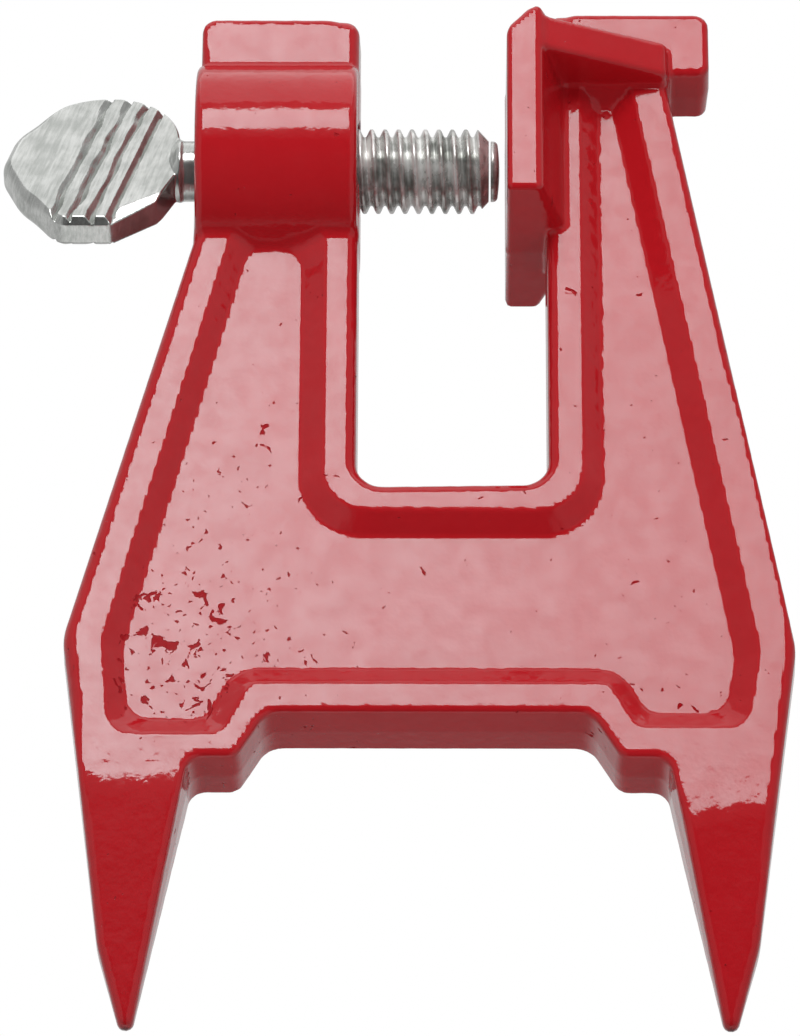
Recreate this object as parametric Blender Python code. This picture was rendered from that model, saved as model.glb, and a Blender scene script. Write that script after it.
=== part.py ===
"""Stump vise for sharpening a chainsaw: a one-piece cast frame on two spikes, and a thumb screw.

The frame's plate lies in the XZ plane. +Z points up, the spikes point down, and the thumb
screw runs along +X towards the jaw. The origin lies at mid thickness, midway between the two
shoulders that rest on the stump. Lengths are in metres, written as millimetres times MM.
"""

from math import ceil, cos, pi, radians, sin, tan

import bmesh
import bpy
from mathutils import Matrix, Vector

MM = 0.001

# Plate of the casting
PLATE_THICKNESS = 12.7 * MM
EDGE_CHAMFER = 1.2 * MM
BASE_HALF_WIDTH = 51.1 * MM
BASE_CORNER_RADIUS = 9.0 * MM
LEFT_CORNER_Z = 18.9 * MM
RIGHT_CORNER_Z = 17.0 * MM
LEFT_LEG_TOP_Z = 84.0 * MM
LEG_TOP_X = 34.15 * MM
BRIDGE_Z = 6.8 * MM
BRIDGE_HALF_WIDTH = 22.3 * MM
BRIDGE_CORNER_RADIUS = 3.5 * MM
SHOULDER_INNER_X = 26.4 * MM
SHOULDER_OUTER_X = 32.9 * MM
SHOULDER_RADIUS = 2.5 * MM
SPIKE_KNEE_X = 45.15 * MM
SPIKE_KNEE_Z = -26.5 * MM
SPIKE_KNEE_RADIUS = 16.0 * MM
SPIKE_APEX_X = 40.8 * MM
SPIKE_APEX_Z = -44.0 * MM
SPIKE_END_Z = -38.2 * MM
SPIKE_END_RADIUS = 1.6 * MM
SPIKE_END_THICKNESS = 3.2 * MM
SPIKE_TAPER_Z = -2.0 * MM

# Slot that takes the guide bar
SLOT_LEFT_X = -10.2 * MM
SLOT_RIGHT_X = 16.6 * MM
SLOT_BOTTOM_Z = 43.0 * MM
SLOT_CORNER_RADIUS = 3.6 * MM

# Strike pads on top of the two legs
LEFT_PAD_TOP_Z = 119.9 * MM
RIGHT_PAD_TOP_Z = 120.8 * MM
PAD_BOTTOM_Z = 110.0 * MM
PAD_LEFT_X = -33.5 * MM
PAD_RIGHT_X = 40.75 * MM
PAD_CORNER_RADIUS = 2.3 * MM
PAD_LOWER_RADIUS = 1.8 * MM
PAD_INNER_RADIUS = 1.5 * MM

# Recess in each face of the plate
RECESS_DEPTH = 2.2 * MM
RECESS_SLOPE_WIDTH = 2.95 * MM
RECESS_ARM_FOOT_Z = 35.4 * MM
LEFT_ARM_TOP_Z = 82.0 * MM
RIGHT_ARM_TOP_Z = 105.5 * MM
# Corners of its floor's base part as (x, z, radius in mm), on the right and on the left
RECESS_RIGHT_BASE = [(42.6, 16.5, 7), (41.2, 7.6, 4), (30.1, 7.6, 3.5), (26.3, 14.4, 5)]
RECESS_LEFT_BASE = [(-26.9, 14.4, 5), (-30.7, 6.6, 3.5), (-41.8, 6.6, 4), (-42.7, 17.8, 7)]
RECESS_LEFT_ARM_X = (-26.1, -18.2)
RECESS_RIGHT_ARM_X = (24.35, 26.45)

# Tapped boss
SCREW_Z = 97.4 * MM
BOSS_RADIUS = 15.4 * MM
BOSS_LEFT_X = -33.8 * MM
BOSS_RIGHT_X = -10.5 * MM
BOSS_EDGE = 0.9 * MM
BORE_RADIUS = 6.6 * MM
BORE_CHAMFER = 0.5 * MM

# Jaw with its gussets
JAW_FACE_X = 11.0 * MM
JAW_HALF_DEPTH = 17.4 * MM
JAW_EDGE_WIDTH = 4.9 * MM
JAW_ROOT_WIDTH = 8.3 * MM
JAW_BOTTOM_Z = 83.8 * MM
JAW_TOP_Z = 114.8 * MM
JAW_CHAMFER = 3.8 * MM
GUSSET_BOTTOM_Z = 108.5 * MM
GUSSET_TOP_Z = 114.1 * MM
GUSSET_END_X = 34.4 * MM
GUSSET_END_HALF_DEPTH = 8.7 * MM
GUSSET_OVERLAP = 0.6 * MM
GUSSET_STEP = 0.4 * MM

# Thumb screw, half inch by 13 threads to the inch
PITCH = 25.4 / 13 * MM
THREAD_RADIUS = 6.15 * MM
ROOT_RADIUS = 5.0 * MM
THREAD_LEFT_X = -33.6 * MM
THREAD_RIGHT_X = 8.5 * MM
THREAD_CHAMFER = 1.6 * MM
POINT_GAP = 0.3 * MM
POINT_RADIUS = 4.4 * MM
POINT_END_X = 10.05 * MM
POINT_DOME_START = 0.35
NECK_RADIUS = 4.4 * MM
NECK_ROOT_RADIUS = 2.3 * MM
NECK_ROOT_X = -41.0 * MM
NECK_COLLAR_RADIUS = 4.9 * MM
NECK_COLLAR_X = (-38.4 * MM, -37.2 * MM)
NECK_PLAIN_X = -35.6 * MM
PADDLE_X = -49.8 * MM
PADDLE_THICKNESS = 5.2 * MM
PADDLE_CHAMFER = 0.8 * MM
PADDLE_CHAMFER_DEPTH = 0.8 * MM
PADDLE_TILT = radians(21)
# Corners of the paddle's egg-shaped plan as (along the screw, up the face, radius in mm)
PADDLE_CORNERS = [
    (-12.5, -1.5, 5),
    (-10.7, 5.4, 8),
    (-3.3, 14.05, 13.5),
    (13.3, 14.05, 10),
    (13.3, -3.2, 3),
    (10.3, -9.8, 1.2),
    (4.2, -14.6, 1.5),
    (-3.5, -14.6, 2),
    (-9.6, -8.1, 10),
]
GROOVE_WIDTH = 1.3 * MM
GROOVE_FLOOR_WIDTH = 0.3 * MM
GROOVE_DEPTH = 0.9 * MM
GROOVE_HALF_LENGTH = 15.6 * MM
GROOVE_LEAN = radians(15)
GROOVE_PLACES = [(-1.2 + 2.7 * number) * MM for number in range(4)]

ARC_STEP = radians(15)
TURN_SEGMENTS = 48
THREAD_SEGMENTS = 24
DOME_STEPS = 5
OVERRUN = 1.0 * MM
WELD = 0.0001 * MM

# One pitch of the thread form as (share of the pitch, radius): root flat, then crest flat
THREAD_FORM = (
    (0.0, ROOT_RADIUS),
    (0.165, ROOT_RADIUS),
    (0.52, THREAD_RADIUS),
    (0.645, THREAD_RADIUS),
)


def clear_scene():
    for item in list(bpy.data.objects):
        bpy.data.objects.remove(item)


def add_object(name, mesh, material=None):
    item = bpy.data.objects.new(name, mesh)
    bpy.context.scene.collection.objects.link(item)
    if material:
        mesh.materials.append(material)
    return item


def mesh_from(name, bm):
    bmesh.ops.recalc_face_normals(bm, faces=bm.faces)
    mesh = bpy.data.meshes.new(name)
    bm.to_mesh(mesh)
    bm.free()
    return mesh


def rounded(corners):
    """Outline through the corners (x, z, radius), each radius swept as an arc."""
    outline = []
    count = len(corners)
    for index, (x, z, radius) in enumerate(corners):
        corner = Vector((x, z))
        if radius == 0:
            outline.append(corner)
            continue
        before = (Vector(corners[index - 1][:2]) - corner).normalized()
        after = (Vector(corners[(index + 1) % count][:2]) - corner).normalized()
        half = before.angle(after) / 2
        centre = corner + (before + after).normalized() * radius / sin(half)
        start = corner + before * radius / tan(half) - centre
        sweep = start.angle_signed(corner + after * radius / tan(half) - centre)
        steps = max(2, ceil(abs(sweep) / ARC_STEP))
        for step in range(steps + 1):
            outline.append(centre + Matrix.Rotation(-sweep * step / steps, 2) @ start)
    return outline


def offset(outline, distance):
    """The outline moved outwards, or inwards for a negative distance, with mitred corners."""
    count = len(outline)
    area = sum(outline[i - 1].cross(outline[i]) for i in range(count))
    side = 1 if area > 0 else -1
    moved = []
    for i, point in enumerate(outline):
        before = (point - outline[i - 1]).normalized()
        after = (outline[(i + 1) % count] - point).normalized()
        along = (before + after).normalized()
        outwards = Vector((along.y, -along.x)) * side
        moved.append(point + outwards * distance / max(before.dot(along), 0.5))
    return moved


def loft(rings):
    """Closed mesh through rings of equal length, with a flat cap at each end."""
    bm = bmesh.new()
    rows = [[bm.verts.new(point) for point in ring] for ring in rings]
    bm.faces.new(rows[0])
    bm.faces.new(rows[-1])
    for lower, upper in zip(rows, rows[1:]):
        for i in range(len(lower)):
            bm.faces.new((lower[i - 1], lower[i], upper[i], upper[i - 1]))
    return bm


def prism(sections):
    """Solid through (y, outline) sections, the outlines being in XZ."""
    return loft([[(p.x, y, p.y) for p in outline] for y, outline in sections])


def slab(plan, bottom, top):
    """Solid with a plan outline of (x, y) points between two heights."""
    return loft([[(x, y, z) for x, y in plan] for z in (bottom, top)])


def turned(profile, segments=TURN_SEGMENTS):
    """Solid of revolution round the screw's axis from (x, radius) points."""
    rings = []
    for x, radius in profile:
        angles = [2 * pi * step / segments for step in range(segments)]
        rings.append([(x, radius * cos(a), SCREW_Z + radius * sin(a)) for a in angles])
    return loft(rings)


def boolean(item, other, operation):
    other.hide_render = True
    other.display_type = "WIRE"
    modifier = item.modifiers.new(f"{operation.lower()}_{other.name}", "BOOLEAN")
    modifier.operation = operation
    modifier.solver = "EXACT"
    modifier.object = other
    other.parent = item


def helper(name, bm):
    return add_object(name, mesh_from(name, bm))


def in_metres(corners):
    return [(x * MM, z * MM, radius * MM) for x, z, radius in corners]


def plate_outline():
    """Outer outline of the casting with its slot, clockwise from the left spike."""
    spike = [
        (SPIKE_APEX_X, SPIKE_APEX_Z, SPIKE_END_RADIUS),
        (SHOULDER_OUTER_X, 0, SHOULDER_RADIUS),
        (SHOULDER_INNER_X, 0, SHOULDER_RADIUS),
        (BRIDGE_HALF_WIDTH, BRIDGE_Z, BRIDGE_CORNER_RADIUS),
    ]
    left_spike = [(-x, z, radius) for x, z, radius in reversed(spike)]
    left_side = [
        (-SPIKE_KNEE_X, SPIKE_KNEE_Z, SPIKE_KNEE_RADIUS),
        (-BASE_HALF_WIDTH, LEFT_CORNER_Z, BASE_CORNER_RADIUS),
        (BOSS_LEFT_X, LEFT_LEG_TOP_Z, 0),
        (PAD_LEFT_X, SCREW_Z, 0),
    ]
    left_pad = [
        (PAD_LEFT_X, LEFT_PAD_TOP_Z, PAD_CORNER_RADIUS),
        (SLOT_LEFT_X, LEFT_PAD_TOP_Z, PAD_CORNER_RADIUS),
    ]
    slot = [
        (SLOT_LEFT_X, SLOT_BOTTOM_Z, SLOT_CORNER_RADIUS),
        (SLOT_RIGHT_X, SLOT_BOTTOM_Z, SLOT_CORNER_RADIUS),
    ]
    right_pad = [
        (SLOT_RIGHT_X, RIGHT_PAD_TOP_Z, PAD_CORNER_RADIUS),
        (PAD_RIGHT_X, RIGHT_PAD_TOP_Z, PAD_CORNER_RADIUS),
        (PAD_RIGHT_X, PAD_BOTTOM_Z, PAD_LOWER_RADIUS),
        (LEG_TOP_X, PAD_BOTTOM_Z, PAD_INNER_RADIUS),
    ]
    right_side = [
        (BASE_HALF_WIDTH, RIGHT_CORNER_Z, BASE_CORNER_RADIUS),
        (SPIKE_KNEE_X, SPIKE_KNEE_Z, SPIKE_KNEE_RADIUS),
    ]
    return rounded(left_side + left_pad + slot + right_pad + right_side + spike + left_spike)


def recess_outline():
    """Floor of the recess: the wide base and one arm up each leg."""
    foot_z, left_top_z, right_top_z = (
        place / MM for place in (RECESS_ARM_FOOT_Z, LEFT_ARM_TOP_Z, RIGHT_ARM_TOP_Z)
    )
    left_arm = [
        (RECESS_LEFT_ARM_X[0], left_top_z, 3),
        (RECESS_LEFT_ARM_X[1], left_top_z, 4),
        (RECESS_LEFT_ARM_X[1], foot_z, 9),
    ]
    right_arm = [
        (RECESS_RIGHT_ARM_X[0], foot_z, 9),
        (RECESS_RIGHT_ARM_X[0], right_top_z, 0.9),
        (RECESS_RIGHT_ARM_X[1], right_top_z, 0.9),
    ]
    return rounded(in_metres(left_arm + right_arm + RECESS_RIGHT_BASE + RECESS_LEFT_BASE))


def taper_spikes(bm):
    """Thin both spikes evenly from the shoulders to their tips."""
    geometry = bm.verts[:] + bm.edges[:] + bm.faces[:]
    where = (0, 0, SPIKE_TAPER_Z)
    bmesh.ops.bisect_plane(bm, geom=geometry, plane_co=where, plane_no=(0, 0, 1))
    for vert in bm.verts:
        if vert.co.z < SPIKE_TAPER_Z:
            share = (SPIKE_TAPER_Z - vert.co.z) / (SPIKE_TAPER_Z - SPIKE_END_Z)
            vert.co.y *= 1 - share * (1 - SPIKE_END_THICKNESS / PLATE_THICKNESS)


def plate():
    half = PLATE_THICKNESS / 2
    full = plate_outline()
    face = offset(full, -EDGE_CHAMFER)
    shallow = half - EDGE_CHAMFER
    sections = [(-half, face), (-shallow, full), (shallow, full), (half, face)]
    bm = prism(sections)
    bmesh.ops.recalc_face_normals(bm, faces=bm.faces)
    taper_spikes(bm)
    return bm


def recess_cutter(side):
    """Cutter for the recess in the front face (side -1) or the back face (side 1)."""
    half = PLATE_THICKNESS / 2
    floor = recess_outline()
    spread = RECESS_SLOPE_WIDTH * (RECESS_DEPTH + OVERRUN) / RECESS_DEPTH
    mouth = offset(floor, spread)
    sections = [(side * (half - RECESS_DEPTH), floor), (side * (half + OVERRUN), mouth)]
    return prism(sections)


def boss():
    profile = [
        (BOSS_LEFT_X, BOSS_RADIUS - BOSS_EDGE),
        (BOSS_LEFT_X + BOSS_EDGE, BOSS_RADIUS),
        (BOSS_RIGHT_X - BOSS_EDGE, BOSS_RADIUS),
        (BOSS_RIGHT_X, BOSS_RADIUS - BOSS_EDGE),
    ]
    return turned(profile)


def bore():
    mouth = BORE_RADIUS + BORE_CHAMFER + OVERRUN
    profile = [
        (BOSS_LEFT_X - OVERRUN, mouth),
        (BOSS_LEFT_X + BORE_CHAMFER, BORE_RADIUS),
        (BOSS_RIGHT_X - BORE_CHAMFER, BORE_RADIUS),
        (BOSS_RIGHT_X + OVERRUN, mouth),
    ]
    return turned(profile)


def jaw():
    """Plate across the end of the screw: flat to the slot, thicker towards its root."""
    half = PLATE_THICKNESS / 2
    edge_x = JAW_FACE_X + JAW_EDGE_WIDTH
    root_x = JAW_FACE_X + JAW_ROOT_WIDTH
    plan = [
        (JAW_FACE_X, -JAW_HALF_DEPTH),
        (edge_x, -JAW_HALF_DEPTH),
        (root_x, -half),
        (root_x, half),
        (edge_x, JAW_HALF_DEPTH),
        (JAW_FACE_X, JAW_HALF_DEPTH),
    ]
    bm = slab(plan, JAW_BOTTOM_Z, JAW_TOP_Z)
    bmesh.ops.recalc_face_normals(bm, faces=bm.faces)
    top_edge = [
        edge
        for edge in bm.edges
        if all(v.co.x < JAW_FACE_X + WELD and v.co.z > SCREW_Z for v in edge.verts)
    ]
    bmesh.ops.bevel(
        bm, geom=top_edge, offset=JAW_CHAMFER, affect="EDGES", profile=0.5, segments=1
    )
    return bm


def gusset():
    """Level web from the jaw's two outer edges back to the right leg."""
    start_x = JAW_FACE_X + JAW_EDGE_WIDTH - GUSSET_OVERLAP
    plan = [
        (start_x, -JAW_HALF_DEPTH + GUSSET_STEP),
        (GUSSET_END_X, -GUSSET_END_HALF_DEPTH),
        (GUSSET_END_X, GUSSET_END_HALF_DEPTH),
        (start_x, JAW_HALF_DEPTH - GUSSET_STEP),
    ]
    return slab(plan, GUSSET_BOTTOM_Z, GUSSET_TOP_Z)


def vise_frame(material):
    frame = add_object("vise_frame", mesh_from("vise_frame", plate()), material)
    boolean(frame, helper("front_recess", recess_cutter(-1)), "DIFFERENCE")
    boolean(frame, helper("back_recess", recess_cutter(1)), "DIFFERENCE")
    boolean(frame, helper("boss", boss()), "UNION")
    boolean(frame, helper("jaw", jaw()), "UNION")
    boolean(frame, helper("gusset", gusset()), "UNION")
    boolean(frame, helper("bore", bore()), "DIFFERENCE")
    return frame


def thread_envelope(x):
    """Largest radius at a place along the shank: full thread, chamfered at both ends."""
    rise = (THREAD_RADIUS - NECK_RADIUS) / THREAD_CHAMFER
    margin = min(x - THREAD_LEFT_X, THREAD_RIGHT_X - x)
    return min(THREAD_RADIUS, NECK_RADIUS + max(margin, 0) * rise)


def threaded_shank():
    """Right-hand thread as one helical strip, clamped to flat ends."""
    rows_per_turn = len(THREAD_FORM)
    turns = ceil((THREAD_RIGHT_X - THREAD_LEFT_X) / PITCH) + 2
    start = THREAD_LEFT_X - PITCH
    bm = bmesh.new()
    grid = []
    for row in range(turns * rows_per_turn):
        turn, step = divmod(row, rows_per_turn)
        phase, radius = THREAD_FORM[step]
        ring = []
        for column in range(THREAD_SEGMENTS):
            share = column / THREAD_SEGMENTS
            x = start + (turn + phase + share) * PITCH
            x = min(max(x, THREAD_LEFT_X), THREAD_RIGHT_X)
            reach = min(radius, thread_envelope(x))
            angle = 2 * pi * share
            place = (x, reach * cos(angle), SCREW_Z + reach * sin(angle))
            ring.append(bm.verts.new(place))
        grid.append(ring)
    for row in range(len(grid) - rows_per_turn - 1):
        for column in range(THREAD_SEGMENTS):
            seam = column == THREAD_SEGMENTS - 1
            ahead = (0, rows_per_turn) if seam else (column + 1, 0)
            column_after, shift = ahead
            corners = (
                grid[row][column],
                grid[row + 1][column],
                grid[row + 1 + shift][column_after],
                grid[row + shift][column_after],
            )
            bm.faces.new(corners)
    bmesh.ops.remove_doubles(bm, verts=bm.verts, dist=WELD)
    loose = [vert for vert in bm.verts if not vert.link_faces]
    bmesh.ops.delete(bm, geom=loose, context="VERTS")
    open_edges = [edge for edge in bm.edges if edge.is_boundary]
    bmesh.ops.holes_fill(bm, edges=open_edges)
    return bm


def neck():
    """Plain shank between the thread and the paddle, with a collar where it meets the rim."""
    profile = [
        (NECK_ROOT_X, NECK_ROOT_RADIUS),
        (NECK_COLLAR_X[0], NECK_COLLAR_RADIUS),
        (NECK_COLLAR_X[1], NECK_COLLAR_RADIUS),
        (NECK_PLAIN_X, NECK_RADIUS),
        (THREAD_LEFT_X + 2 * OVERRUN, NECK_RADIUS),
    ]
    return turned(profile)


def tilted(bm):
    """The mesh turned round the screw's axis to the paddle's angle at rest."""
    turn = Matrix.Rotation(-PADDLE_TILT, 4, "X")
    bmesh.ops.rotate(bm, cent=(0, 0, SCREW_Z), matrix=turn, verts=bm.verts)
    return bm


def paddle():
    half = PADDLE_THICKNESS / 2
    middle = Vector((PADDLE_X, SCREW_Z))
    full = [middle + point for point in rounded(in_metres(PADDLE_CORNERS))]
    face = offset(full, -PADDLE_CHAMFER)
    shallow = half - PADDLE_CHAMFER_DEPTH
    sections = [(-half, face), (-shallow, full), (shallow, full), (half, face)]
    return tilted(prism(sections))


def groove(side, place):
    """Grip groove across the paddle's front (side -1) or back face (side 1).

    Its left side slopes down to a narrow floor, and its right side is upright.
    """
    along = Vector((sin(GROOVE_LEAN), cos(GROOVE_LEAN))) * GROOVE_HALF_LENGTH
    across = Vector((cos(GROOVE_LEAN), -sin(GROOVE_LEAN)))
    right = Vector((PADDLE_X, SCREW_Z)) + across * (place + GROOVE_WIDTH / 2)

    def strip(width):
        left = right - across * width
        return [left - along, right - along, right + along, left + along]

    face = PADDLE_THICKNESS / 2
    sections = [
        (side * (face - GROOVE_DEPTH), strip(GROOVE_FLOOR_WIDTH)),
        (side * face, strip(GROOVE_WIDTH)),
        (side * (face + OVERRUN), strip(GROOVE_WIDTH)),
    ]
    return tilted(prism(sections))


def thumb_screw(material):
    screw = add_object("thumb_screw", mesh_from("thumb_screw", threaded_shank()), material)
    boolean(screw, helper("neck", neck()), "UNION")
    boolean(screw, helper("paddle", paddle()), "UNION")
    for side in (-1, 1):
        for number, place in enumerate(GROOVE_PLACES, start=1):
            face = "front" if side < 0 else "back"
            cutter = helper(f"{face}_groove_{number}", groove(side, place))
            boolean(screw, cutter, "DIFFERENCE")
    return screw


def screw_point(material):
    """Unthreaded point of the screw, domed where it presses on the guide bar."""
    root_x = THREAD_RIGHT_X + POINT_GAP
    dome = POINT_END_X - root_x
    profile = [(root_x, POINT_RADIUS)]
    for step in range(DOME_STEPS):
        angle = radians(90) * step / DOME_STEPS
        place = root_x + dome * (POINT_DOME_START + (1 - POINT_DOME_START) * sin(angle))
        profile.append((place, POINT_RADIUS - dome * (1 - cos(angle))))
    profile.append((POINT_END_X, POINT_RADIUS - dome))
    return add_object("screw_point", mesh_from("screw_point", turned(profile)), material)


def make_material(name, color, metallic, roughness):
    material = bpy.data.materials.new(name)
    material.use_nodes = True
    shader = material.node_tree.nodes["Principled BSDF"]
    shader.inputs["Base Color"].default_value = (*color, 1)
    shader.inputs["Metallic"].default_value = metallic
    shader.inputs["Roughness"].default_value = roughness
    return material


def put_on_axis(item, axis_empty):
    """Move the object's origin to the screw's axis and parent it to the axis's empty."""
    item.data.transform(Matrix.Translation((0, 0, -SCREW_Z)))
    for child in item.children:
        child.data.transform(Matrix.Translation((0, 0, -SCREW_Z)))
    item.parent = axis_empty


def smooth(item, angle):
    item.data.shade_smooth()
    item.data.set_sharp_from_angle(angle=angle)


def build():
    clear_scene()
    red = make_material("gloss_red_paint", (0.45, 0.008, 0.014), 0, 0.15)
    zinc = make_material("bright_zinc_plate", (0.75, 0.76, 0.77), 1, 0.2)
    vise_frame(red)
    axis = bpy.data.objects.new("screw_axis", None)
    axis.location = (0, 0, SCREW_Z)
    bpy.context.scene.collection.objects.link(axis)
    for item in (thumb_screw(zinc), screw_point(zinc)):
        put_on_axis(item, axis)
    for item in bpy.context.scene.objects:
        if item.type == "MESH":
            smooth(item, radians(35))


build()
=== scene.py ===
"""Looks for a cast stump vise with a thumb screw: glossy red paint over rough cast iron, and a bright
zinc plated screw with a rolled thread, a plain point and a ground, grooved paddle.

The casting and the paddle are modelled as distance fields in millimetres and meshed with a surface net.
+Z points up, the screw runs along +X, and the front face looks along -Y.
"""

from math import ceil, cos, hypot, pi, radians, sin, tan

import bmesh
import bpy
import numpy as np
from mathutils import Matrix, Vector

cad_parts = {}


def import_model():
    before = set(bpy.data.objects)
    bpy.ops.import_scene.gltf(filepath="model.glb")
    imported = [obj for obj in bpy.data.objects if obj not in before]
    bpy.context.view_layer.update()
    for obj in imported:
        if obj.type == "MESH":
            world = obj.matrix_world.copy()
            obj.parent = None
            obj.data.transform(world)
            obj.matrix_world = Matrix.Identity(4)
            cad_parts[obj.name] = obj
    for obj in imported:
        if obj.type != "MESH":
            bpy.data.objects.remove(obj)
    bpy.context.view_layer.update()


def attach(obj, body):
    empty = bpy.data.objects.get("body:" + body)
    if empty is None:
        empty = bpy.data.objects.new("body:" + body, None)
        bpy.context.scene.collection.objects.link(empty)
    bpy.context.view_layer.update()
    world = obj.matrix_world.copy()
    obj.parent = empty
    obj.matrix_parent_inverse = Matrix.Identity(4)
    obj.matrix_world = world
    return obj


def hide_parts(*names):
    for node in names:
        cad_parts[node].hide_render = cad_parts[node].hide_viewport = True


MM = 0.001

# Casting: the plate's outline, in mm
HALF_THICKNESS = 6.35
DRAFT = tan(radians(2))
BASE_HALF_WIDTH = 51.1
LEFT_CORNER_Z = 18.9
RIGHT_CORNER_Z = 17.0
LEG_TOP_X = 34.15
LEFT_PAD_TOP_Z = 119.9
RIGHT_PAD_TOP_Z = 120.8
PAD_BOTTOM_Z = 110.0
PAD_RIGHT_X = 40.75
SLOT_LEFT_X = -10.2
SLOT_RIGHT_X = 16.6
SLOT_BOTTOM_Z = 43.0
BRIDGE_Z = 6.8
SPIKE_END_Z = -37.9
SPIKE_END_HALF_THICKNESS = 1.6
SPIKE_TAPER_LEFT_Z = -4.2
SPIKE_TAPER_RIGHT_Z = -9.2

# Recess in each face, in mm
RECESS_DEPTH = 2.2
RECESS_SLOPE_WIDTH = 2.95
RECESS_FLOOR_SHIFT = 0.3
RECESS_EDGE = 0.22

# Boss, jaw and gusset, in mm
SCREW_Z = 97.4
BOSS_RADIUS = 15.4
BOSS_LEFT_X = -33.8
BOSS_RIGHT_X = -10.5
BOSS_ROUNDING = 1.2
BOSS_FILLET = 0.7
BOSS_FILLET_BELOW = 0.4
BOSS_FILLET_Z = (90, 96)
BORE_RADIUS = 6.6
BORE_END_X = -4.0
BORE_CHAMFER = 0.6
BORE_EDGE = 0.4
JAW_FACE_X = 11.0
JAW_EDGE_X = 15.9
JAW_ROOT_X = 19.3
JAW_HALF_DEPTH = 17.35
JAW_BOTTOM_Z = 83.8
JAW_TOP_Z = 115.3
JAW_CHAMFER = 3.8
JAW_ROUNDING = 0.85
JAW_FILLET = 0.9
SEAM_HEIGHT = 0.12
SEAM_Y = 0.6
GUSSET_BOTTOM_Z = 108.5
GUSSET_TOP_Z = 114.1
GUSSET_START_X = 15.3
GUSSET_START_HALF_DEPTH = 17.0
GUSSET_END_X = 34.4
GUSSET_END_HALF_DEPTH = 8.7
GUSSET_OVERLAP = 1.5
GUSSET_ROUNDING = 0.9
GUSSET_FILLET = 0.9

# Thumb screw, in mm
PITCH = 25.4 / 13
CREST_RADIUS = 6.15
ROOT_RADIUS = 5.0
THREAD_LEFT_X = -33.6
THREAD_RIGHT_X = 8.5
THREAD_CHAMFER = 1.6
POINT_START_X = 8.8
POINT_END_X = 10.05
POINT_RADIUS = 4.4
POINT_DOME = 0.35
POINT_ROUNDING = 0.6
NECK_RADIUS = 4.4
NECK_COLLAR = 0.5
NECK_COLLAR_X = (-37.2, -35.6)
NECK_ROOT_X = (-38.2, -36.2)
NECK_ROOT_RADIUS = 2.2
NECK_OVERLAP = 1.5
NECK_FILLET = 1.2
PADDLE_X = -49.8
PADDLE_HALF_THICKNESS = 2.6
PADDLE_TILT = radians(21)
# Corners of the paddle's egg-shaped plan as (along the screw, up the face, radius)
PADDLE_CORNERS = [
    (-12.45, -1.5, 5),
    (-10.7, 5.4, 8),
    (-3.3, 14.05, 13.5),
    (13.3, 14.05, 10),
    (13.3, -3.2, 3),
    (10.3, -9.8, 1.2),
    (4.2, -14.6, 1.5),
    (-3.5, -14.6, 2),
    (-9.6, -8.1, 10),
]
PADDLE_ROUNDING = 0.35
PADDLE_LEFT_ROUNDING = 1.6
STEEP_CHAMFER = 0.62
# Facet at the paddle's lower right: its side, how far it starts from the middle, its tilt, and
# where it begins along the screw
FACET_SIDE = Vector((sin(radians(33)), -cos(radians(33))))
FACET_REACH = 12.4
FACET_TILT = radians(21)
FACET_START = 3.5
FACET_STEP = 0.6
GROOVE_WIDTH = 1.3
GROOVE_SLOPE = 0.74
GROOVE_WAVES = (0.24, 0.28, 0.18, 0.0)
GROOVE_LEAN = radians(15)
GROOVE_PLACES = [-1.0 + 2.7 * number for number in range(4)]

# Meshing: the boxes that are searched, as two corners in mm, and the size of the cells
CASTING_BOX = ((-51.4, -17.6, -38.6), (51.4, 17.6, 121.0))
CASTING_STEP = 0.6
PADDLE_BOX = ((-62.6, -8.6, 82.2), (-31.8, 8.6, 112.0))
PADDLE_STEP = 0.2
POINT_BOX = ((8.6, -4.6, 92.8), (10.2, 4.6, 102.0))
POINT_STEP = 0.2
THREAD_SEGMENTS = 96
THREAD_ROWS = 16

# Paint
PAINT_DEEP = (0.48, 0.0085, 0.013, 1)
PAINT_BRIGHT = (0.55, 0.012, 0.019, 1)
# Painted shade: a darker paint colour that is mixed into the pits
PIT_PAINTED_SHADE = (0.30, 0.004, 0.008, 1)
PAINT_SHEEN_TINT = (0.74, 1.0, 1.02, 1)
# Painted highlight: change of the paint's sheen per metre along the screw's axis, for the key light
# falling brighter on the left
PAINTED_HIGHLIGHT_LEAN = 4.5
# Crowds of pits as (centre in mm, radius in mm, share)
PIT_CROWDS = [((-33, -4, 17), 30, 1.0), ((33, -4, 12), 20, 0.45), ((-29, -4, 42), 26, 0.45)]
# The front recess's pits end between these depths, in mm
PIT_END_Y = (-4.9, -4.5)

# Zinc: dark and light tones, range of roughness, metallic share and scale of the fine lines
ROLLED_ZINC = {
    "dark": (0.2, 0.21, 0.19, 1),
    "light": (0.88, 0.88, 0.86, 1),
    "roughness": (0.2, 0.34),
    "metallic": 0.55,
    "lines_lean": 0.0,
    "line_scale": 500,
}
GROUND_ZINC = {
    "dark": (0.42, 0.435, 0.415, 1),
    "light": (0.66, 0.67, 0.65, 1),
    "roughness": (0.12, 0.22),
    "metallic": 0.85,
    "lines_lean": -GROOVE_LEAN,
    "line_scale": 2200,
}

# Studio: softboxes as (name, azimuth, elevation, distance, width, height, radiance), in degrees and mm
SOFTBOXES = [
    ("key_softbox", 0, 31, 900, 480, 370, 7.9),
    ("top_softbox", 0, 78, 800, 1000, 800, 0.8),
]
SOFTBOX_TARGET_Z = 50
FLOOR_REACH = 3000.0
FLOOR_GAP = 0.2
BACKDROP_LIGHT = (0.2, 0.2, 0.205, 1)

# Camera fitted to the object's perspective
CAMERA_PITCH = radians(27.869)
CAMERA_YAW = radians(-0.437)
CAMERA_ROLL = radians(0.282)
CAMERA_TARGET = Vector((-4.15, 0, 40.43)) * MM
CAMERA_DISTANCE = 885 * MM
CAMERA_LENS = 217.8


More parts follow.
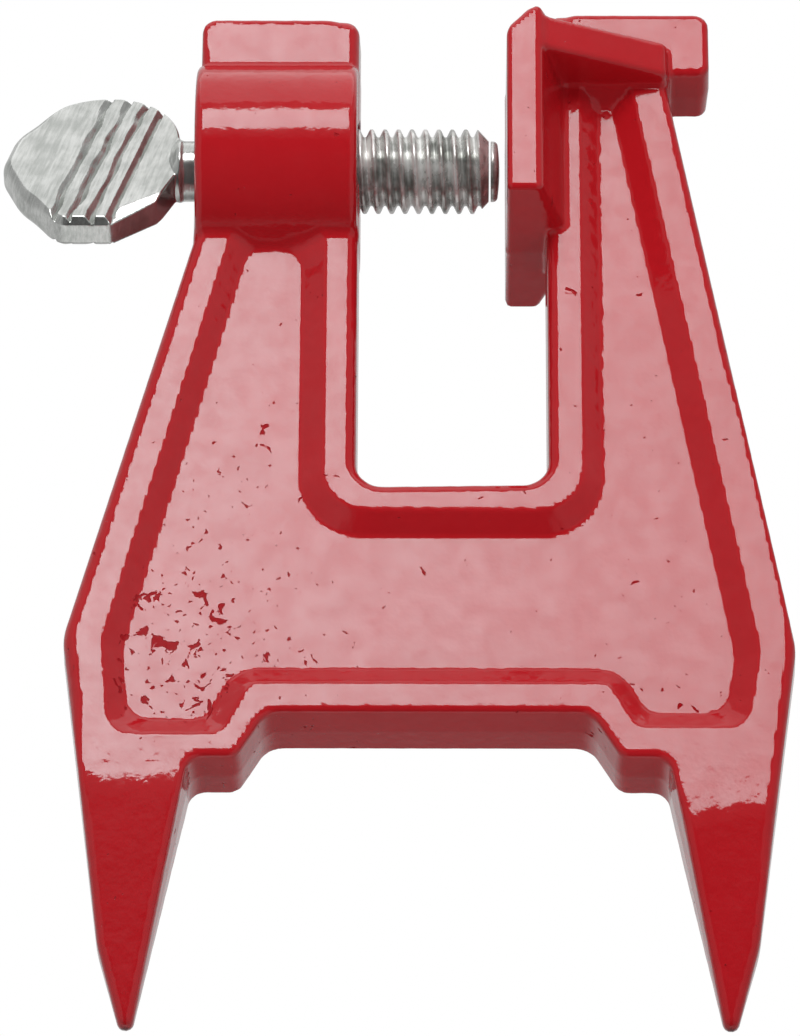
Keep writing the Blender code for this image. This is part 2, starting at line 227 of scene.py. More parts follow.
def round_max(a, b, radius):
    """Intersection of two distances with its edge rounded."""
    outside = np.hypot(np.maximum(a + radius, 0), np.maximum(b + radius, 0))
    return np.minimum(np.maximum(a, b) + radius, 0) + outside - radius


def soft_min(a, b, width):
    """Union of two distances with a fillet."""
    blend = np.maximum(width - np.abs(a - b), 0)
    return np.minimum(a, b) - blend * blend / (4 * width)


def soft_max(a, b, width):
    return -soft_min(-a, -b, width)


def smooth_step(value, low, high):
    share = np.clip((value - low) / (high - low), 0, 1)
    return share * share * (3 - 2 * share)


class Outline:
    """Closed outline in a plane through (u, v, radius) corners, with the distance to it."""

    def __init__(self, corners):
        count = len(corners)
        points = [Vector(corner[:2]) for corner in corners]
        area = sum(points[i - 1].cross(points[i]) for i in range(count))
        self.turn = 1 if area > 0 else -1
        self.lines, self.arcs = [], []
        ends = []
        for i, (u, v, radius) in enumerate(corners):
            corner = points[i]
            before = (points[i - 1] - corner).normalized()
            after = (points[(i + 1) % count] - corner).normalized()
            half = before.angle(after) / 2
            middle = (before + after).normalized()
            centre = corner + middle * radius / sin(half)
            trim = radius / tan(half)
            ends.append((corner + before * trim, corner + after * trim))
            convex = -before.cross(after) * self.turn > 0
            self.arcs.append((centre, radius, -middle, sin(half), 1 if convex else -1))
        for i in range(count):
            self.lines.append((ends[i][1], ends[(i + 1) % count][0]))

    def distance(self, u, v):
        """Signed distance to the outline, negative inside."""
        nearest = np.full(np.broadcast(u, v).shape, 1e6, np.float32)
        signed = nearest.copy()

        def keep(distance, value):
            closer = distance < nearest
            nearest[closer] = distance[closer]
            signed[closer] = value[closer]

        for start, end in self.lines:
            along = (end - start).normalized()
            length = (end - start).length
            place = np.clip((u - start.x) * along.x + (v - start.y) * along.y, 0, length)
            du = u - start.x - place * along.x
            dv = v - start.y - place * along.y
            distance = np.hypot(du, dv)
            side = (du * along.y - dv * along.x) * self.turn
            keep(distance, np.where(side > 0, distance, -distance))
        for centre, radius, middle, limit, side in self.arcs:
            du, dv = u - centre.x, v - centre.y
            reach = np.hypot(du, dv)
            inside = du * middle.x + dv * middle.y >= reach * limit
            distance = np.where(inside, np.abs(reach - radius), np.float32(1e6))
            keep(distance, (reach - radius) * side)
        return signed


def plate_outline():
    """Outer outline of the casting with its slot."""
    spike = [(40.8, -42.05, 1.2), (32.9, 0, 2.5), (26.4, 0, 2.5), (22.3, BRIDGE_Z, 3.5)]
    left_spike = [(-x, z, radius) for x, z, radius in reversed(spike)]
    left_side = [
        (-45.15, -26.5, 16),
        (-BASE_HALF_WIDTH, LEFT_CORNER_Z, 9),
        (-33.8, 84.0, 2),
        (-33.5, SCREW_Z, 2),
    ]
    left_pad = [(-33.5, LEFT_PAD_TOP_Z, 2.3), (SLOT_LEFT_X, LEFT_PAD_TOP_Z, 2.3)]
    slot = [(SLOT_LEFT_X, SLOT_BOTTOM_Z - 0.15, 3.6), (SLOT_RIGHT_X, SLOT_BOTTOM_Z + 0.2, 3.6)]
    right_pad = [
        (SLOT_RIGHT_X, RIGHT_PAD_TOP_Z, 2.3),
        (PAD_RIGHT_X, RIGHT_PAD_TOP_Z, 2.3),
        (PAD_RIGHT_X, PAD_BOTTOM_Z, 1.8),
        (LEG_TOP_X, PAD_BOTTOM_Z, 1.5),
    ]
    right_side = [(BASE_HALF_WIDTH, RIGHT_CORNER_Z, 9), (45.15, -26.5, 16)]
    return Outline(left_side + left_pad + slot + right_pad + right_side + spike + left_spike)


def recess_corners():
    """Corners of the recess floor: the wide base and one arm up each leg."""
    left_arm = [(-26.1, 82.0, 3), (-18.2, 82.0, 4), (-18.2, 35.4, 9)]
    right_arm = [(24.35, 35.4, 9), (24.35, 105.5, 0.9), (26.45, 105.5, 0.9)]
    right_base = [(42.6, 16.5, 7), (41.2, 7.6, 4), (30.1, 7.6, 3.5), (26.3, 14.4, 5)]
    left_base = [(-26.9, 14.4, 5), (-30.7, 6.6, 3.5), (-41.8, 6.6, 4), (-42.7, 17.8, 7)]
    return left_arm + right_arm + right_base + left_base


def moved_out(corners, distance):
    """The corners of an outline moved outwards, each with its radius kept in step."""
    count = len(corners)
    points = [Vector(corner[:2]) for corner in corners]
    area = sum(points[i - 1].cross(points[i]) for i in range(count))
    turn = 1 if area > 0 else -1
    result = []
    for i, (u, v, radius) in enumerate(corners):
        before = (points[i] - points[i - 1]).normalized()
        after = (points[(i + 1) % count] - points[i]).normalized()
        along = (before + after).normalized()
        outwards = Vector((along.y, -along.x)) * turn
        place = points[i] + outwards * distance / before.dot(along)
        convex = before.cross(after) * turn > 0
        change = -0.2 * radius if convex else -distance * 0.8
        result.append((place.x, place.y, max(radius + change, 0.6)))
    return result


PLATE = plate_outline()
RECESS_FLOOR = Outline(recess_corners())
RECESS_MOUTH = Outline(moved_out(recess_corners(), RECESS_SLOPE_WIDTH))
PADDLE_PLAN = Outline(PADDLE_CORNERS)


def ripple(u, v, length, seed):
    """Smooth irregular waves between -1 and 1, about one length apart."""
    total = 0
    for turn in range(5):
        angle = seed + 1.9 * turn
        scale = 2 * pi / (length * (1 + 0.22 * turn))
        total = total + np.sin((u * cos(angle) + v * sin(angle)) * scale + 2.4 * turn * seed)
    return total / 3


def zone(value, low, high, soft=2.0):
    """1 between two places and 0 outside them, with soft ends."""
    return smooth_step(value, low - soft, low) * (1 - smooth_step(value, high, high + soft))


def recess_depth(x, z):
    """Depth of the recess below the plate's face: one slope all round, with uneven edges."""
    floor = RECESS_FLOOR.distance(x, z) + 0.045 * ripple(x, z, 1.9, 0.7)
    mouth = RECESS_MOUTH.distance(x - RECESS_FLOOR_SHIFT, z) + 0.045 * ripple(x, z, 1.7, 2.1)
    depth = RECESS_DEPTH * -mouth / np.maximum(floor - mouth, 0.05)
    flat = np.zeros_like(depth)
    return soft_min(soft_max(depth, flat, RECESS_EDGE), flat + RECESS_DEPTH, RECESS_EDGE)


def half_thickness(x, z):
    """Half thickness of the plate, falling away towards the spikes' tips."""
    start = np.where(x < 0, SPIKE_TAPER_LEFT_Z, SPIKE_TAPER_RIGHT_Z + 0.16 * (x - 37))
    start = start + 0.5 * ripple(x, 0 * z, 2.6, 1.3)
    rate = (HALF_THICKNESS - SPIKE_END_HALF_THICKNESS) / (start - SPIKE_END_Z)
    return HALF_THICKNESS - soft_max((start - z) * rate, np.zeros_like(z * rate), 0.25)


def edge_radius(x, z):
    """Rounding of the plate's edges, which differs from side to side of the casting."""
    left = smooth_step(-x, 24, 30) * zone(z, 10, 108, 8)
    slot = zone(x, -13, 19.5) * zone(z, 39, 122)
    right_top = smooth_step(x, 26, 30) * zone(z, 62, 106, 12)
    right_foot = smooth_step(x, 42, 44) * zone(z, -12, 16, 6)
    spikes = smooth_step(-z, 4, 10)
    radius = 0.85 + 1.0 * left + 0.85 * slot + 0.3 * right_top + 0.55 * right_foot + 0.4 * spikes
    right_side = smooth_step(x, 30, 36) * zone(z, 24, 56, 6)
    return radius - 0.25 * right_side + 0.06 * ripple(x, z, 1.8, 0.4)


def plate(x, y, z):
    away = np.abs(y)
    half = half_thickness(x, z)
    side = PLATE.distance(x, z) + DRAFT * away
    # The recess slope is scaled to a true distance
    depth = recess_depth(x, z)
    slope = hypot(1, RECESS_DEPTH / RECESS_SLOPE_WIDTH)
    face = away - half + depth
    face = np.where(depth > 0.02, face / slope, face)
    return round_max(side, face, np.minimum(edge_radius(x, z), 0.75 * half))


def boss(x, y, z):
    around = np.hypot(y, z - SCREW_Z) - BOSS_RADIUS
    middle = (BOSS_LEFT_X + BOSS_RIGHT_X) / 2
    ends = np.abs(x - middle) - (BOSS_RIGHT_X - BOSS_LEFT_X) / 2
    uneven = 0.1 * ripple(z, y, 4.0, 0.9)
    return round_max(around, ends + x * 0, BOSS_ROUNDING + uneven)


def jaw(x, y, z):
    """Plate across the end of the screw, with a chamfer above the screw and sloping back faces."""
    away = np.abs(y)
    back = Vector((JAW_HALF_DEPTH - HALF_THICKNESS, JAW_ROOT_X - JAW_EDGE_X)).normalized()
    # A thin step on the clamping face where the two halves of the mould met
    seam = SEAM_HEIGHT * np.exp(-((y - SEAM_Y) ** 2) / 0.4)
    planes = [
        JAW_FACE_X - seam - x,
        (x - JAW_EDGE_X) * back.x + (away - JAW_HALF_DEPTH) * back.y,
        away - JAW_HALF_DEPTH,
        JAW_BOTTOM_Z + DRAFT * away - z,
        z - JAW_TOP_Z,
        ((z - x) - (JAW_TOP_Z - JAW_FACE_X - JAW_CHAMFER)) / hypot(1, 1),
    ]
    return rounded_solid(planes, JAW_ROUNDING)


def gusset(x, y, z):
    """Level web from the jaw's outer edges back to the right leg."""
    away = np.abs(y)
    run = GUSSET_END_X - GUSSET_START_X
    drop = GUSSET_START_HALF_DEPTH - GUSSET_END_HALF_DEPTH
    front = Vector((drop, run)).normalized()
    planes = [
        (x - GUSSET_START_X) * front.x + (away - GUSSET_START_HALF_DEPTH) * front.y,
        GUSSET_BOTTOM_Z - z,
        z - GUSSET_TOP_Z,
        x - GUSSET_END_X,
        GUSSET_START_X - GUSSET_OVERLAP - x,
    ]
    return rounded_solid(planes, GUSSET_ROUNDING)


def rounded_solid(planes, radius):
    """Solid inside all the planes, with rounded edges."""
    shape = np.broadcast(*planes).shape
    total = np.zeros(shape, np.float32)
    most = np.full(shape, -1e6, np.float32)
    for plane in planes:
        most = np.maximum(most, plane)
        total = total + np.maximum(plane + radius, 0) ** 2
    return np.minimum(most + radius, 0) + np.sqrt(total) - radius


def bore(x, y, z):
    mouth = np.minimum(np.abs(x - BOSS_LEFT_X), np.abs(x - BOSS_RIGHT_X))
    radius = BORE_RADIUS + np.maximum(BORE_CHAMFER - mouth, 0)
    around = np.hypot(y, z - SCREW_Z) - radius
    return np.maximum(around, x - BORE_END_X)


def casting(x, y, z):
    # The fillet below the boss is wider than the one above it
    fillet = BOSS_FILLET + BOSS_FILLET_BELOW * (1 - smooth_step(z, *BOSS_FILLET_Z))
    body = soft_min(plate(x, y, z), boss(x, y, z), fillet)
    body = soft_min(body, jaw(x, y, z), JAW_FILLET)
    body = soft_min(body, gusset(x, y, z), GUSSET_FILLET)
    body = np.maximum(body, np.abs(y) - JAW_HALF_DEPTH)
    return soft_max(body, -bore(x, y, z), BORE_EDGE)


def paddle_frame(x, y, z):
    """Coordinates in the paddle's own plane: along the screw, up the face, and out of it."""
    up, out = z - SCREW_Z, y
    face_up = up * cos(PADDLE_TILT) + out * sin(PADDLE_TILT)
    face_out = out * cos(PADDLE_TILT) - up * sin(PADDLE_TILT)
    return x - PADDLE_X, face_up, face_out


def groove_cut(along, up, away):
    """Grip grooves: each has a bed that slopes down to the right, and an upright right side."""
    lean = along * cos(GROOVE_LEAN) - up * sin(GROOVE_LEAN)
    deep = PADDLE_HALF_THICKNESS - away
    cut = np.full(np.broadcast(along, up, away).shape, 1e6, np.float32)
    for number, place in enumerate(GROOVE_PLACES):
        wild = GROOVE_WAVES[number]
        wave = wild * ripple(up, 0 * along, 5.5 - 0.9 * number, 0.5 + number)
        wide = GROOVE_WIDTH * (1 + wild * ripple(up, 0 * along, 7.0, 1.7 + number))
        across = lean - place - wave
        wall = (across - wide / 2) * 0.95
        bed = (deep - (across + wide / 2) * GROOVE_SLOPE) / hypot(1, GROOVE_SLOPE)
        cut = np.minimum(cut, np.maximum(wall, bed))
    return cut


def paddle(x, y, z):
    along, up, out = paddle_frame(x, y, z)
    away = np.abs(out)
    rim = PADDLE_PLAN.distance(along, up)
    face = away - PADDLE_HALF_THICKNESS
    left = smooth_step(-along, 3, 8)
    body = round_max(rim, face, PADDLE_ROUNDING + PADDLE_LEFT_ROUNDING * left)
    # A steep chamfer under the grooves, and a shallow facet to the right of them
    lower = smooth_step(-up, 6, 9) * (1 - left)
    facet = FACET_SIDE.x * along + FACET_SIDE.y * up - FACET_REACH
    facet = facet * sin(FACET_TILT) + face * cos(FACET_TILT)
    begun = smooth_step(along, FACET_START, FACET_START + FACET_STEP)
    facet = facet - 3 * (1 - begun)
    steep = (rim + face) / hypot(1, 1) + STEEP_CHAMFER * lower * (1 - begun)
    body = soft_max(soft_max(body, steep, 0.15), facet, 0.12)
    body = soft_max(body, -groove_cut(along, up, away), 0.08)
    around = np.hypot(y, z - SCREW_Z)
    radius = NECK_RADIUS + NECK_COLLAR * (1 - smooth_step(x, *NECK_COLLAR_X))
    root = (NECK_RADIUS + NECK_COLLAR - NECK_ROOT_RADIUS) * (1 - smooth_step(x, *NECK_ROOT_X))
    neck = round_max(around - radius + root, x - THREAD_LEFT_X - NECK_OVERLAP, 0.3)
    neck = np.maximum(neck, NECK_ROOT_X[0] - x)
    return soft_min(body, neck, NECK_FILLET)


def axis_places(low, high, step):
    return np.arange(low - 2 * step, high + 3 * step, step).astype(np.float32)


def surface_net(field, low, high, step):
    """Quads along the zero surface of a distance field, as (points, faces) in mm."""
    places = [axis_places(a, b, step) for a, b in zip(low, high)]
    x, y, z = np.meshgrid(*places, indexing="ij", sparse=True)
    values = np.asarray(field(x, y, z), np.float32)
    inside = values < 0
    shape = tuple(n - 1 for n in values.shape)
    total = np.zeros(shape + (3,), np.float32)
    count = np.zeros(shape, np.float32)

    def block(array, shift):
        return array[tuple(slice(s, s + n) for s, n in zip(shift, shape))]

    for axis in range(3):
        others = [other for other in range(3) if other != axis]
        for first in (0, 1):
            for second in (0, 1):
                start = [0, 0, 0]
                start[others[0]], start[others[1]] = first, second
                end = list(start)
                end[axis] = 1
                a, b = block(values, start), block(values, end)
                crossed = (a < 0) != (b < 0)
                share = np.where(crossed, a / np.where(crossed, a - b, 1), 0)
                total[..., axis] += share
                total[..., others[0]] += first * crossed
                total[..., others[1]] += second * crossed
                count += crossed
    cells = np.argwhere(count > 0)
    number = np.full(shape, -1, np.int64)
    number[tuple(cells.T)] = np.arange(len(cells))
    spot = total[tuple(cells.T)] / count[tuple(cells.T)][:, None]
    points = (cells + spot) * step + np.array([place[0] for place in places])
    faces = []
    for axis in range(3):
        u, v = (axis + 1) % 3, (axis + 2) % 3
        a = np.take(inside, range(values.shape[axis] - 1), axis)
        b = np.take(inside, range(1, values.shape[axis]), axis)
        for first, found in ((True, a & ~b), (False, ~a & b)):
            edges = np.argwhere(found)
            ring = []
            for du, dv in ((-1, -1), (0, -1), (0, 0), (-1, 0)):
                cell = edges.copy()
                cell[:, u] += du
                cell[:, v] += dv
                ring.append(number[tuple(cell.T)])
            quad = np.stack(ring, 1)
            faces.append(quad if first else quad[:, ::-1])
    return points, np.concatenate(faces)


def gradient(field, points, reach):
    """Direction in which the field rises at each point."""
    found = []
    for axis in range(3):
        ahead, behind = points.copy(), points.copy()
        ahead[:, axis] += reach
        behind[:, axis] -= reach
        found.append((field(*ahead.T) - field(*behind.T)) / (2 * reach))
    return np.stack(found, 1)


def settle(field, points, rounds, most):
    """Points drawn onto the field's zero surface, and the normals there."""
    for _ in range(rounds):
        slope = gradient(field, points, 0.05)
        size = np.maximum((slope**2).sum(1), 0.2)
        move = (-field(*points.T) / size)[:, None] * slope
        points = points + np.clip(move, -most, most)
    normals = gradient(field, points, 0.12)
    length = np.linalg.norm(normals, axis=1, keepdims=True)
    return points, normals / np.maximum(length, 1e-6)


def mesh_object(name, points, faces, normals=None):
    """Mesh object from points in mm, with the given normals shaded across its faces."""
    mesh = bpy.data.meshes.new(name)
    mesh.from_pydata((points * MM).tolist(), [], faces.tolist())
    mesh.validate()
    mesh.shade_smooth()
    if normals is not None:
        mesh.normals_split_custom_set_from_vertices(normals.tolist())
    item = bpy.data.objects.new(name, mesh)
    bpy.context.scene.collection.objects.link(item)
    return item


def meshed_field(name, field, low, high, step):
    points, faces = surface_net(field, low, high, step)
    points, normals = settle(field, points, 2, step / 2)
    return mesh_object(name, points, faces, normals)


def thread_radius(phase):
    """Radius of the rolled thread across one pitch, with a rounded crest and root."""
    flank = abs((phase % 1) - 0.5) * 2
    share = min(max((0.86 - flank) / 0.68, 0), 1)
    share = share * share * (3 - 2 * share) * 0.6 + share * 0.4
    return ROOT_RADIUS + (CREST_RADIUS - ROOT_RADIUS) * share


def thread_envelope(x):
    rise = (CREST_RADIUS - NECK_RADIUS) / THREAD_CHAMFER
    margin = min(x - THREAD_LEFT_X, THREAD_RIGHT_X - x)
    return min(CREST_RADIUS, NECK_RADIUS + max(margin, 0) * rise)


def thread_rows():
    """Rings of points along the thread, each ring one turn of the helix."""
    turns = ceil((THREAD_RIGHT_X - THREAD_LEFT_X) / PITCH) + 2
    start = THREAD_LEFT_X - PITCH
    rows = []
    for row in range(turns * THREAD_ROWS + 1):
        ring = []
        for column in range(THREAD_SEGMENTS):
            share = column / THREAD_SEGMENTS
            phase = row / THREAD_ROWS
            x = start + (phase + share) * PITCH
            x = min(max(x, THREAD_LEFT_X), THREAD_RIGHT_X)
            reach = min(thread_radius(phase), thread_envelope(x))
            angle = 2 * pi * share
            ring.append((x, reach * cos(angle), SCREW_Z + reach * sin(angle)))
        rows.append(ring)
    return rows


def threaded_shank():
    rows = thread_rows()
    points = [point for ring in rows for point in ring]
    faces = []
    for row in range(len(rows) - 1):
        for column in range(THREAD_SEGMENTS):
            ahead = (column + 1) % THREAD_SEGMENTS
            shift = THREAD_ROWS if ahead == 0 else 0
            if row + 1 + shift >= len(rows):
                continue
            here, there = row * THREAD_SEGMENTS, (row + shift) * THREAD_SEGMENTS
            corners = (
                here + column,
                here + THREAD_SEGMENTS + column,
                there + THREAD_SEGMENTS + ahead,
                there + ahead,
            )
            faces.append(corners)
    return closed_strip("screw_thread", np.array(points), faces)


def closed_strip(name, points, faces):
    """The helical strip welded where it is clamped flat, with its two ends filled."""
    mesh = bpy.data.meshes.new(name)
    mesh.from_pydata((points * MM).tolist(), [], faces)
    bm = bmesh.new()
    bm.from_mesh(mesh)
    bmesh.ops.remove_doubles(bm, verts=bm.verts, dist=1e-7)
    bmesh.ops.dissolve_degenerate(bm, dist=1e-7, edges=bm.edges)
    loose = [vert for vert in bm.verts if not vert.link_faces]
    bmesh.ops.delete(bm, geom=loose, context="VERTS")
    open_edges = [edge for edge in bm.edges if edge.is_boundary]
    bmesh.ops.holes_fill(bm, edges=open_edges)
    bmesh.ops.recalc_face_normals(bm, faces=bm.faces)
    bm.to_mesh(mesh)
    bm.free()
    mesh.shade_smooth()
    mesh.set_sharp_from_angle(angle=radians(50))
    item = bpy.data.objects.new(name, mesh)
    bpy.context.scene.collection.objects.link(item)
    return item


def point_field(x, y, z):
    """Plain point of the screw with a softly domed end."""
    around = np.hypot(y, z - SCREW_Z)
    end = POINT_END_X - POINT_DOME * (around / POINT_RADIUS) ** 2
    body = round_max(around - POINT_RADIUS, x - end, POINT_ROUNDING)
    return np.maximum(body, POINT_START_X - x)


def node(tree, kind, inputs=None, **settings):
    made = tree.nodes.new(kind)
    for key, value in settings.items():
        setattr(made, key, value)
    for key, value in (inputs or {}).items():
        if isinstance(value, bpy.types.NodeSocket):
            tree.links.new(value, made.inputs[key])
        else:
            made.inputs[key].default_value = value
    return made


def math_node(tree, operation, first, second=0.0, third=0.0, clamp=False):
    values = {0: first, 1: second, 2: third}
    return node(tree, "ShaderNodeMath", values, operation=operation, use_clamp=clamp).outputs[0]


def new_material(name):
    material = bpy.data.materials.new(name)
    material.use_nodes = True
    tree = material.node_tree
    shader = tree.nodes["Principled BSDF"]
    place = tree.nodes.new("ShaderNodeTexCoord").outputs["Object"]
    return material, tree, shader, place


def noise(tree, place, scale, detail=2.0, roughness=0.5, distortion=0.0):
    values = {
        "Vector": place,
        "Scale": scale,
        "Detail": detail,
        "Roughness": roughness,
        "Distortion": distortion,
    }
    return node(tree, "ShaderNodeTexNoise", values).outputs["Fac"]


def ramp(tree, value, low, high, out_low=0.0, out_high=1.0):
    values = {"Value": value, 1: low, 2: high, 3: out_low, 4: out_high}
    made = node(tree, "ShaderNodeMapRange", values, interpolation_type="SMOOTHSTEP")
    return made.outputs["Result"]


def mix_color(tree, share, first, second):
    values = {"Factor": share, "A": first, "B": second}
    made = node(tree, "ShaderNodeMix", None, data_type="RGBA")
    for key, value in values.items():
        socket = next(s for s in made.inputs if s.name == key and s.enabled)
        if isinstance(value, bpy.types.NodeSocket):
            tree.links.new(value, socket)
        else:
            socket.default_value = value
    return next(s for s in made.outputs if s.enabled)


def spot_mask(tree, place, centre, radius):
    """1 at a place on the object, falling to 0 at the radius."""
    values = {0: place, 1: Vector(centre) * MM}
    distance = node(tree, "ShaderNodeVectorMath", values, operation="DISTANCE").outputs["Value"]
    return ramp(tree, distance, 0.0, radius * MM, 1.0, 0.0)


def pit_mask(tree, place):
    """Pits in the paint, large and small: crowded at the lower left, and rare elsewhere."""
    crowd = 0.0
    for centre, radius, share in PIT_CROWDS:
        spot = math_node(tree, "MULTIPLY", spot_mask(tree, place, centre, radius), share)
        crowd = math_node(tree, "MAXIMUM", spot, crowd)
    # In front, only the recess floor is pitted, not the raised rim round it
    outwards = node(tree, "ShaderNodeSeparateXYZ", {0: place}).outputs["Y"]
    floor = ramp(tree, outwards, *(end * MM for end in PIT_END_Y))
    crowd = math_node(tree, "MULTIPLY", crowd, floor)
    big = noise(tree, place, 520, 2.0, 0.45, 0.7)
    small = noise(tree, place, 1100, 1.0, 0.5, 0.4)
    big_level = math_node(tree, "MULTIPLY_ADD", crowd, -0.15, 0.75)
    small_level = math_node(tree, "MULTIPLY_ADD", crowd, -0.11, 0.79)
    big = ramp(tree, math_node(tree, "SUBTRACT", big, big_level), 0.0, 0.025)
    small = ramp(tree, math_node(tree, "SUBTRACT", small, small_level), 0.0, 0.03)
    return math_node(tree, "MAXIMUM", big, small)


def red_paint():
    """Gloss paint that flowed over a rough casting: soft waves, and pits where it did not fill, with
    painted shade in the pits and a painted highlight stronger towards the left.
    """
    material, tree, shader, place = new_material("red_paint")
    pit = pit_mask(tree, place)
    waves = noise(tree, place, 130, 2.0, 0.5)
    grain = noise(tree, place, 620, 2.0, 0.55)
    height = math_node(tree, "MULTIPLY_ADD", grain, 0.5, math_node(tree, "MULTIPLY", waves, 0.55))
    height = math_node(tree, "MULTIPLY_ADD", pit, -1.2, height)
    values = {"Height": height, "Strength": 1.0, "Distance": 0.1 * MM}
    bump = node(tree, "ShaderNodeBump", values).outputs["Normal"]
    tone = noise(tree, place, 90, 3.0, 0.6)
    colour = mix_color(tree, tone, PAINT_DEEP, PAINT_BRIGHT)
    # Painted shade: the pits are darkened, standing in for the reflection they lose
    colour = mix_color(tree, math_node(tree, "MULTIPLY", pit, 0.6), colour, PIT_PAINTED_SHADE)
    tree.links.new(colour, shader.inputs["Base Color"])
    gloss = ramp(tree, noise(tree, place, 260, 3.0, 0.6), 0.3, 0.7, 0.06, 0.11)
    gloss = math_node(tree, "MULTIPLY_ADD", pit, 0.5, gloss)
    tree.links.new(gloss, shader.inputs["Roughness"])
    # Painted highlight: the gloss is a little stronger towards the left, where the key light falls
    # brighter
    sheen = ramp(tree, noise(tree, place, 300, 5.0, 0.7), 0.3, 0.7, 0.38, 0.5)
    across = node(tree, "ShaderNodeSeparateXYZ", {0: place}).outputs["X"]
    lean = math_node(tree, "MULTIPLY_ADD", across, -PAINTED_HIGHLIGHT_LEAN, 1.0)
    sheen = math_node(tree, "MULTIPLY", sheen, lean)
    sheen = math_node(tree, "MULTIPLY_ADD", pit, -0.35, sheen)
    tree.links.new(sheen, shader.inputs["Specular IOR Level"])
    tree.links.new(bump, shader.inputs["Normal"])
    shader.inputs["IOR"].default_value = 1.5
    shader.inputs["Specular Tint"].default_value = PAINT_SHEEN_TINT
    return material


def zinc(name, dark, light, roughness, metallic, lines_lean, line_scale):
    """Bright zinc plate with fine lines from grinding or rolling, and a few dull patches."""
    material, tree, shader, place = new_material(name)
    turn = node(tree, "ShaderNodeMapping", {"Vector": place, "Rotation": (0, lines_lean, 0)})
    stretch = {"Vector": turn.outputs[0], "Scale": (1.0, 0.25, 0.04)}
    lined = node(tree, "ShaderNodeMapping", stretch).outputs[0]
    lines = noise(tree, lined, line_scale, 3.0, 0.65)
    clouds = noise(tree, place, 240, 3.0, 0.6)
    height = math_node(tree, "MULTIPLY_ADD", clouds, 0.6, lines)
    values = {"Height": height, "Strength": 1.0, "Distance": 0.03 * MM}
    bump = node(tree, "ShaderNodeBump", values).outputs["Normal"]
    mottle = math_node(tree, "MULTIPLY_ADD", lines, 0.5, math_node(tree, "MULTIPLY", clouds, 0.5))
    colour = mix_color(tree, ramp(tree, mottle, 0.35, 0.65), dark, light)
    tree.links.new(colour, shader.inputs["Base Color"])
    dull = ramp(tree, math_node(tree, "MULTIPLY_ADD", lines, 0.5, clouds), 0.5, 1.0, *roughness)
    tree.links.new(dull, shader.inputs["Roughness"])
    tree.links.new(bump, shader.inputs["Normal"])
    shader.inputs["Metallic"].default_value = metallic
    return material


def floor_material():
    """Pale matt floor that is seen and felt only from above."""
    material, tree, shader, place = new_material("pale_floor")
    tree.nodes.remove(shader)
    tone = mix_color(tree, noise(tree, place, 8), (0.80, 0.80, 0.80, 1), (0.83, 0.83, 0.83, 1))
    matt = node(tree, "ShaderNodeBsdfDiffuse", {"Color": tone}).outputs[0]
    clear = tree.nodes.new("ShaderNodeBsdfTransparent").outputs[0]
    below = tree.nodes.new("ShaderNodeNewGeometry").outputs["Backfacing"]
    mixed = node(tree, "ShaderNodeMixShader", {0: below, 1: matt, 2: clear}).outputs[0]
    output = tree.nodes["Material Output"]
    tree.links.new(mixed, output.inputs["Surface"])
    return material


def add_floor():
    level = SPIKE_END_Z - FLOOR_GAP
    corners = [(a * FLOOR_REACH, b * FLOOR_REACH, level) for a, b in ((-1, -1), (1, -1), (1, 1), (-1, 1))]
    floor = mesh_object("floor", np.array(corners), np.array([[0, 1, 2, 3]]))
    floor.data.materials.append(floor_material())
    # Mirror-like faces see the studio instead of the floor
    floor.visible_glossy = False


def add_light(name, azimuth, elevation, distance, width, height, radiance):
    """Softbox at a direction from the object, aimed at it, of a given brightness."""
    light = bpy.data.lights.new(name, "AREA")
    light.shape = "RECTANGLE"
    light.size, light.size_y = width * MM, height * MM
    light.energy = radiance * pi * width * MM * height * MM
    item = bpy.data.objects.new(name, light)
    a, e = radians(azimuth), radians(elevation)
    outwards = Vector((sin(a) * cos(e), -cos(a) * cos(e), sin(e)))
    item.location = Vector((0, 0, SOFTBOX_TARGET_Z * MM)) + outwards * distance * MM
    item.rotation_euler = outwards.to_track_quat("Z", "Y").to_euler()
    item.visible_camera = False
    bpy.context.scene.collection.objects.link(item)


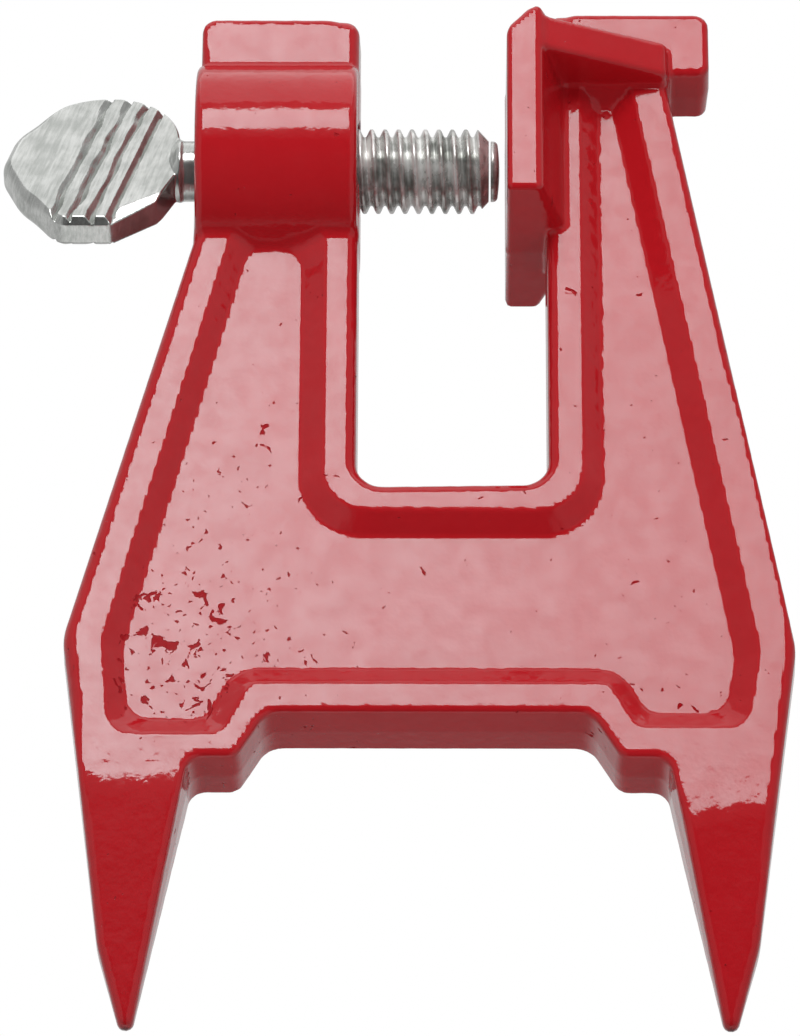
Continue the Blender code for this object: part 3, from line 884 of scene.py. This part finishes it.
def add_world():
    """White backdrop, which gloss faces see dark in front, grey at the sides and bright behind."""
    world = bpy.data.worlds.new("studio")
    bpy.context.scene.world = world
    world.use_nodes = True
    tree = world.node_tree
    back = tree.nodes["Background"]
    path = tree.nodes.new("ShaderNodeLightPath").outputs
    direction = tree.nodes.new("ShaderNodeTexCoord").outputs["Generated"]
    axes = node(tree, "ShaderNodeSeparateXYZ", {0: direction}).outputs
    front = ramp(tree, axes["Z"], 0.06, 0.22, 0.05, 0.3)
    sideways = math_node(tree, "ABSOLUTE", axes["X"])
    front = math_node(tree, "MAXIMUM", front, ramp(tree, sideways, 0.2, 0.5, 0.0, 0.45))
    rear = ramp(tree, axes["Y"], -0.2, 0.3)
    below = ramp(tree, axes["Z"], -0.95, -0.75, 1.0, 0.68)
    shade = ramp(tree, axes["Y"], 0.5, 0.85)
    low = ramp(tree, axes["Z"], -0.4, 0.0, 1.0, 0.0)
    shade = math_node(tree, "MULTIPLY", shade, low)
    behind = math_node(tree, "MULTIPLY", below, math_node(tree, "MULTIPLY_ADD", shade, -0.5, 1.0))
    around = mix_color(tree, rear, front, behind)
    level = mix_color(tree, path["Is Glossy Ray"], BACKDROP_LIGHT, around)
    colour = mix_color(tree, path["Is Camera Ray"], level, (1.0, 1.0, 1.0, 1))
    tree.links.new(colour, back.inputs["Color"])


def add_camera():
    pitch, yaw, roll = CAMERA_PITCH, CAMERA_YAW, CAMERA_ROLL
    ahead = Vector((sin(yaw) * cos(pitch), cos(yaw) * cos(pitch), sin(pitch)))
    right = Vector((cos(yaw), -sin(yaw), 0))
    up = right.cross(ahead)
    right, up = right * cos(roll) + up * sin(roll), up * cos(roll) - right * sin(roll)
    camera = bpy.data.objects.new("camera", bpy.data.cameras.new("camera"))
    bpy.context.scene.collection.objects.link(camera)
    camera.data.lens = CAMERA_LENS
    camera.data.clip_start, camera.data.clip_end = 0.01, 50
    place = Matrix((right, up, -ahead)).transposed().to_4x4()
    place.translation = CAMERA_TARGET - ahead * CAMERA_DISTANCE
    camera.matrix_world = place
    bpy.context.scene.camera = camera


def finished(item, material, body, slot_name, *nodes):
    item.data.materials.append(material)
    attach(item, body)
    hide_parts(*nodes)


def main():
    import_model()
    bpy.context.scene.view_settings.view_transform = "Standard"
    frame_piece = meshed_field("cast_frame", casting, *CASTING_BOX, CASTING_STEP)
    finished(frame_piece, red_paint(), "frame", "red_paint", "vise_frame")
    thread_zinc = zinc("rolled_zinc", **ROLLED_ZINC)
    ground_zinc = zinc("ground_zinc", **GROUND_ZINC)
    finished(threaded_shank(), thread_zinc, "screw", "bright_zinc", "thumb_screw")
    paddle_piece = meshed_field("screw_paddle", paddle, *PADDLE_BOX, PADDLE_STEP)
    finished(paddle_piece, ground_zinc, "screw", "bright_zinc", "thumb_screw")
    point_piece = meshed_field("plain_point", point_field, *POINT_BOX, POINT_STEP)
    finished(point_piece, thread_zinc, "screw_travel", "bright_zinc", "screw_point")
    add_floor()
    add_world()
    for softbox in SOFTBOXES:
        add_light(*softbox)
    add_camera()


main()
